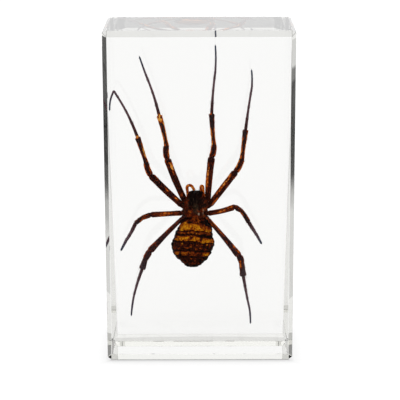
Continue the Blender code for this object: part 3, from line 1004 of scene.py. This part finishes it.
def turned_bud(profile, size, tip_over, splay, place):
    stations = []
    for height, radius, *rest in profile:
        bearing, x = rest or (0, 0.0)
        stations.append(ring(Vector((x, 0, height)), radius, bearing))
    bud = sweep(stations, BUD_SIDES, BUD_TIP)
    finish_skin(bud, 1)
    scale = Matrix.Scale(size, 4)
    tip = Matrix.Rotation(math.radians(tip_over), 4, "X")
    turn = Matrix.Rotation(math.radians(splay), 4, "Y")
    bud.data.transform(Matrix.Translation(place) @ turn @ tip @ scale)
    return bud


def model_pairs(middle, profile, rows):
    """Buds in mirrored pairs, joined."""
    buds = []
    for out, lift, z, tip_over, splay, size in rows:
        for facing in (-1, 1):
            place = spider_point(middle + facing * out, lift, z)
            buds.append(turned_bud(profile, size, tip_over, facing * splay, place))
    return to_metres(join_pieces(buds))


# Hairs, spines and claws: one slim cone is modelled, and each copy gets its root, way, length and radius.

HAIR_SHAPE = ((0.0, 1.0), (0.35, 0.75), (0.7, 0.45))  # height and radius
HAIR_TIP = 0.3
HAIR_SEED = 41
HAIR_SET = 0.93  # where a limb's hair is rooted, as a share of the limb's radius
LEG_HAIRS = 5.0  # for each mm of leg
LEG_HAIR = (0.22, 0.40, 0.012)  # shortest, longest, radius
SPINE = (0.55, 0.95, 0.030)
SPINE_PLACES = (0.75, 1.6, 2.25, 2.55, 2.85, 3.2, 3.5, 3.8)  # along the leg, in segments
SPINE_TURNS = (0.35, 2.8, 4.2, 5.3)  # round the leg, in radians
CLAW_LENGTH = 0.24
CLAW_RADIUS = 0.035
BRISTLE = (0.35, 0.75, 0.018)
BRISTLES = 24
BODY_HAIR = (0.20, 0.36, 0.013)
BLOOM_HAIR = (0.18, 0.32, 0.014)
BODY_HAIRS = 420  # on each body


def hair_points():
    """The points and faces of one hair, 1 long and 1 in radius, and no object left behind."""
    hair = sweep([ring(Vector((0, 0, height)), radius) for height, radius in HAIR_SHAPE], 3, HAIR_TIP)
    points = [point.co.copy() for point in hair.data.vertices]
    faces = [tuple(face.vertices) for face in hair.data.polygons]
    bpy.data.objects.remove(hair, do_unlink=True)
    return points, faces


def comb(hairs, shape):
    """One mesh of hairs of a shape. Each has its root, way, sag, length and radius in mm."""
    shape_points, shape_faces = shape
    points = []
    faces = []
    for root, way, sag, length, radius in hairs:
        turn = way.to_track_quat("Z", "X").to_matrix()
        first = len(points)
        for point in shape_points:
            straight = turn @ Vector((point.x * radius, point.y * radius, point.z * length))
            points.append((root + straight + sag * (point.z * point.z * length)) * MM)
        faces += [tuple(first + index for index in face) for face in shape_faces]
    mesh = bpy.data.meshes.new("hairs")
    mesh.from_pydata(points, [], faces)
    mesh.shade_smooth()
    piece = bpy.data.objects.new("hairs", mesh)
    bpy.context.scene.collection.objects.link(piece)
    return piece


def hair_on_ring(station, following, share, turn, rise, kind, chance):
    """A hair that leaves a limb at an angle about it, leaning towards the limb's end."""
    ahead = (following.middle - station.middle).normalized()
    right = ahead.cross(BACKWARD).normalized()
    out = right * math.cos(turn) + BACKWARD * math.sin(turn)
    radius = between(station.wide, following.wide, share)
    root = station.middle.lerp(following.middle, share) + out * radius * HAIR_SET
    way = (ahead + out * rise).normalized()
    return (root, way, -out * 0.12, chance.uniform(*kind[:2]), kind[2])


def leg_hairs(chance):
    """Fine hairs all along the legs, except inside the body."""
    hairs = []
    for leg in LEGS.values():
        for stations in leg_stations(leg):
            for station, following in zip(stations, stations[1:]):
                gap = (following.middle - station.middle).length
                wanted = gap * LEG_HAIRS * math.sqrt(station.wide / 0.4)
                count = int(wanted) + (chance.random() < wanted % 1)
                for _ in range(count if station.along > -0.4 else 0):
                    share = chance.random()
                    turn = chance.uniform(0, 2 * math.pi)
                    rise = chance.uniform(0.25, 0.6)
                    hairs.append(hair_on_ring(station, following, share, turn, rise, LEG_HAIR, chance))
    return hairs


def leg_spines(chance):
    """Spines at their places along each leg, and a pair of claws at its tip."""
    spines = []
    for leg in LEGS.values():
        tubes = leg_stations(leg)
        stations = [station for tube in tubes for station in tube]
        for place in SPINE_PLACES:
            index = min(range(len(stations) - 1), key=lambda number: abs(stations[number].along - place))
            for turn in SPINE_TURNS:
                rise = chance.uniform(0.25, 0.4)
                turn += chance.uniform(-0.3, 0.3)
                spines.append(hair_on_ring(*stations[index:index + 2], 0.5, turn, rise, SPINE, chance))
        before, tip = stations[-2:]
        ahead = (tip.middle - before.middle).normalized()
        right = ahead.cross(BACKWARD)
        for side in (-1, 1):
            root = tip.middle + ahead * TIP_LENGTH * 0.5
            way = (ahead + right * 0.45 * side).normalized()
            spines.append((root, way, BACKWARD * 0.5 - right * 0.3 * side, CLAW_LENGTH, CLAW_RADIUS))
    return spines


def body_hairs(piece, kind, chance, wanted):
    """Hairs on a finished body, leaning back towards the tail, where wanted(x, y, z) says so. Its faces go
    from left to right, because the operators leave them in an order that changes from run to run."""
    faces = [face for face in piece.data.polygons if wanted(*(face.center / MM))]
    faces.sort(key=lambda face: face.center.x)
    hairs = []
    for face in chance.choices(faces, weights=[face.area for face in faces], k=BODY_HAIRS):
        way = face.normal * chance.uniform(0.35, 0.7) + Vector((chance.uniform(-0.25, 0.25), 0, -0.9))
        length = chance.uniform(*kind[:2])
        hairs.append((face.center / MM, way.normalized(), -face.normal * 0.15, length, kind[2]))
    return hairs


def head_bristles(chance):
    """A sparse tuft at the front of the head and on the palps' feet."""
    hairs = []
    for _ in range(BRISTLES):
        x = HEAD_MIDDLE + chance.uniform(-1.0, 1.0)
        root = spider_point(x, chance.uniform(-0.9, 0.5), 36.8)
        way = Vector((chance.uniform(-0.3, 0.3), chance.uniform(-0.5, 0.3), 1)).normalized()
        hairs.append((root, way, Vector((0, -0.2, -0.1)), chance.uniform(*BRISTLE[:2]), BRISTLE[2]))
    return hairs


# Studio


def place_camera():
    lens = bpy.data.cameras.new("camera")
    lens.lens = CAMERA_LENS
    lens.clip_start = 0.01
    lens.clip_end = 20.0
    camera = bpy.data.objects.new("camera", lens)
    bpy.context.scene.collection.objects.link(camera)
    turn = Matrix.Rotation(-CAMERA_YAW, 4, "Z")
    tilt = Matrix.Rotation(math.pi / 2 - CAMERA_PITCH, 4, "X")
    roll = Matrix.Rotation(CAMERA_ROLL, 4, "Z")
    camera.matrix_world = Matrix.Translation(CAMERA_PLACE) @ turn @ tilt @ roll
    bpy.context.scene.camera = camera


def light_studio():
    """A white room: even light from all round, and more from overhead and from low down behind the block."""
    scene = bpy.context.scene
    scene.view_settings.view_transform = "Standard"
    world = bpy.data.worlds.new("studio")
    world.use_nodes = True
    scene.world = world
    wire = Wire(world.node_tree)
    across, behind, height = wire.node("TexCoord").axes()
    seen = wire.node("LightPath")
    glow = height.clamp() * 0.25 + ((height - 0.93) * 20).clamp() * 0.25
    glow = glow + ((behind - 0.955) * 30).clamp() * 0.32 + 1.0
    light = glow + (SEEN_ROOM - glow) * seen
    plug(wire.tree, world.node_tree.nodes["Background"].inputs["Color"], light)


# The floor's soft shadow: its grey by the distance out from the block's foot, in mm.
SHADOW = ((-1.0, "90"), (0.0, "A8"), (0.4, "E0"), (1.5, "F2"), (4.0, "FB"), (9.0, "FF"))
FOOT = (19.4, 9.2)  # half the width and depth that the block stands on
FOOT_MIDDLE = -0.05  # in y


def white_sweep():
    """A lit white floor, which the block's faces mirror as dark, as they would a dark room."""
    made, shader, wire = new_material("white_sweep")
    x, y, z, place = in_mm(wire)
    mirrored = wire.node("LightPath", output=3) * wire.node("LightPath", output=5)
    out = (x.absolute() - FOOT[0]).larger((y - FOOT_MIDDLE).absolute() - FOOT[1])
    glow = mirrored.mix(ramp(out, SHADOW, -1.0, 9.0), (0.02, 0.02, 0.02))
    set_shader(wire, shader, Base_Color=mirrored.mix((0.15, 0.15, 0.15), (0.0, 0.0, 0.0)))
    set_shader(wire, shader, Roughness=1.0, Specular_IOR_Level=0.0)
    set_shader(wire, shader, Emission_Color=glow, Emission_Strength=0.92)
    return made


def lay_floor():
    select_only()
    bpy.ops.mesh.primitive_plane_add(size=FLOOR_SIZE, location=(0, 0, BLOCK_LOW.z - FLOOR_DROP))
    floor = bpy.context.object
    floor.name = "floor"
    floor.data.materials.append(white_sweep())


# A flag is the dark card that draws the edges of a clear thing. It stands edge-on to the camera behind the
# block, so that only the rays which the chamfers bend aside meet it. It is light low down and dark above, and
# on the right light again at its top: height in mm and grey, for the sides that face right and left. A ray
# that the block has turned more than twice meets a third shade, grey low down and light above.
FLAG_START = 13.0
FLAG_END = 170.0
FLAG_HEIGHT = 64.0
FLAG_FACING_RIGHT = (
    (0.0, "F0"), (22.0, "F0"), (26.7, "C8"), (28.8, "9C"), (31.0, "50"), (42.0, "40"), (50.0, "60"),
    (53.5, "60"), (54.3, "8C"), (56.8, "90"), (57.6, "EC"),
)
FLAG_FACING_LEFT = (
    (0.0, "F0"), (15.0, "F0"), (19.5, "C8"), (23.4, "C3"), (26.5, "7F"), (28.0, "61"), (31.0, "58"),
    (42.0, "26"), (50.0, "58"), (62.0, "5C"),
)
FLAG_ZIGZAG = ((0.0, "A0"), (18.0, "A0"), (24.0, "F0"), (64.0, "F0"))


def flag_cloth():
    made, shader, wire = new_material("flag_cloth")
    x, y, z, place = in_mm(wire)
    faces_left = wire.node("NewGeometry", output=6)
    sides = (FLAG_FACING_RIGHT, FLAG_FACING_LEFT, FLAG_ZIGZAG)
    right, left, zigzag = (ramp(z, stops, 0, FLAG_HEIGHT) for stops in sides)
    turned = wire.node("LightPath", output=9).above(2.5)
    cloth = turned.mix(faces_left.mix(right, left), zigzag)
    set_shader(wire, shader, Base_Color=(0.0, 0.0, 0.0), Roughness=1.0, Specular_IOR_Level=0.0)
    set_shader(wire, shader, Emission_Color=cloth, Emission_Strength=1.0)
    return made


def stand_flag():
    """An upright card behind the block, in the camera's own upright plane."""
    select_only()
    bpy.ops.mesh.primitive_plane_add(size=1.0, location=(0, 0, 0))
    flag = bpy.context.object
    flag.name = "flag"
    size = Matrix.Diagonal((FLAG_HEIGHT * MM, (FLAG_END - FLAG_START) * MM, 1, 1))
    upright = Matrix.Rotation(math.pi / 2, 4, "Y")
    middle = (CAMERA_PLACE[0], (FLAG_END + FLAG_START) / 2 * MM, FLAG_HEIGHT / 2 * MM)
    flag.data.transform(Matrix.Translation(middle) @ upright @ size)
    flag.data.materials.append(flag_cloth())
    flag.visible_camera = False
    flag.visible_diffuse = False
    flag.visible_shadow = False


def dress_spider(piece, name, material):
    return dress(piece, name, material, "dried_spider", "spider")


place_camera()
light_studio()
lay_floor()
stand_flag()

dress(model_resin_block(), "resin_block", clear_resin(), "clear_resin", "block_front", "block_back")

cuticle = leg_cuticle("leg_cuticle", 0.0)
faded_cuticle = leg_cuticle("hind_leg_cuticle", 0.15)
for name, leg in LEGS.items():
    piece = model_limb(leg_stations(leg), TIP_LENGTH, leg.glow)
    dress_spider(piece, f"leg_{name}", faded_cuticle if leg.radii is HIND else cuticle)
red_cuticle = grained("palp_cuticle", PALP)
for side, path in PALPS.items():
    dress_spider(model_limb([palp_stations(path)], PALP_TIP), f"palp_{side}", red_cuticle)

carapace = model_body(CARAPACE, CARAPACE_LIFT, 2, carapace_relief)
dress_spider(carapace, "carapace", carapace_cuticle())
abdomen = model_body(ABDOMEN, ABDOMEN_LIFT, 2, abdomen_relief)
dress_spider(abdomen, "abdomen", abdomen_cuticle())
breastplate = model_body(BREASTPLATE, BREASTPLATE_LIFT, 1, breastplate_relief)
dress_spider(breastplate, "breastplate", grained("breastplate_cuticle", BREASTPLATE_STRIPE, striped=True))

jaw_cuticle = grained("jaw_cuticle", JAW)
jaws = [model_pairs(HEAD_MIDDLE, JAW_PROFILE, JAWS), model_pairs(HEAD_MIDDLE, FANG_PROFILE, FANGS)]
dress_spider(join_pieces(jaws), "jaws", jaw_cuticle)
dress_spider(model_pairs(TAIL_MIDDLE, SPINNERET_PROFILE, SPINNERETS), "spinnerets", jaw_cuticle)
dress_spider(model_pairs(HEAD_MIDDLE, EYE_PROFILE, EYES), "eyes", grained("eye_lens", LENS, gloss=0.3))

hair = hair_points()
dark_hair = grained("dark_hair", DARK_HAIR, gloss=0.1)
pale_hair = grained("pale_hair", PALE_HAIR, gloss=0.1)
chance = random.Random(HAIR_SEED)
for name, coat, hairs in (
    ("leg_hairs", dark_hair, leg_hairs(chance)),
    ("spines", dark_hair, leg_spines(chance)),
    ("bristles", dark_hair, head_bristles(chance)),
    ("abdomen_hairs", dark_hair, body_hairs(abdomen, BODY_HAIR, chance, lambda x, y, z: z < 30.2)),
    ("carapace_hairs", pale_hair, body_hairs(
        carapace, BLOOM_HAIR, chance, lambda x, y, z: z < 35.5 and y < LAYER)),
):
    dress_spider(comb(hairs, hair), name, coat)
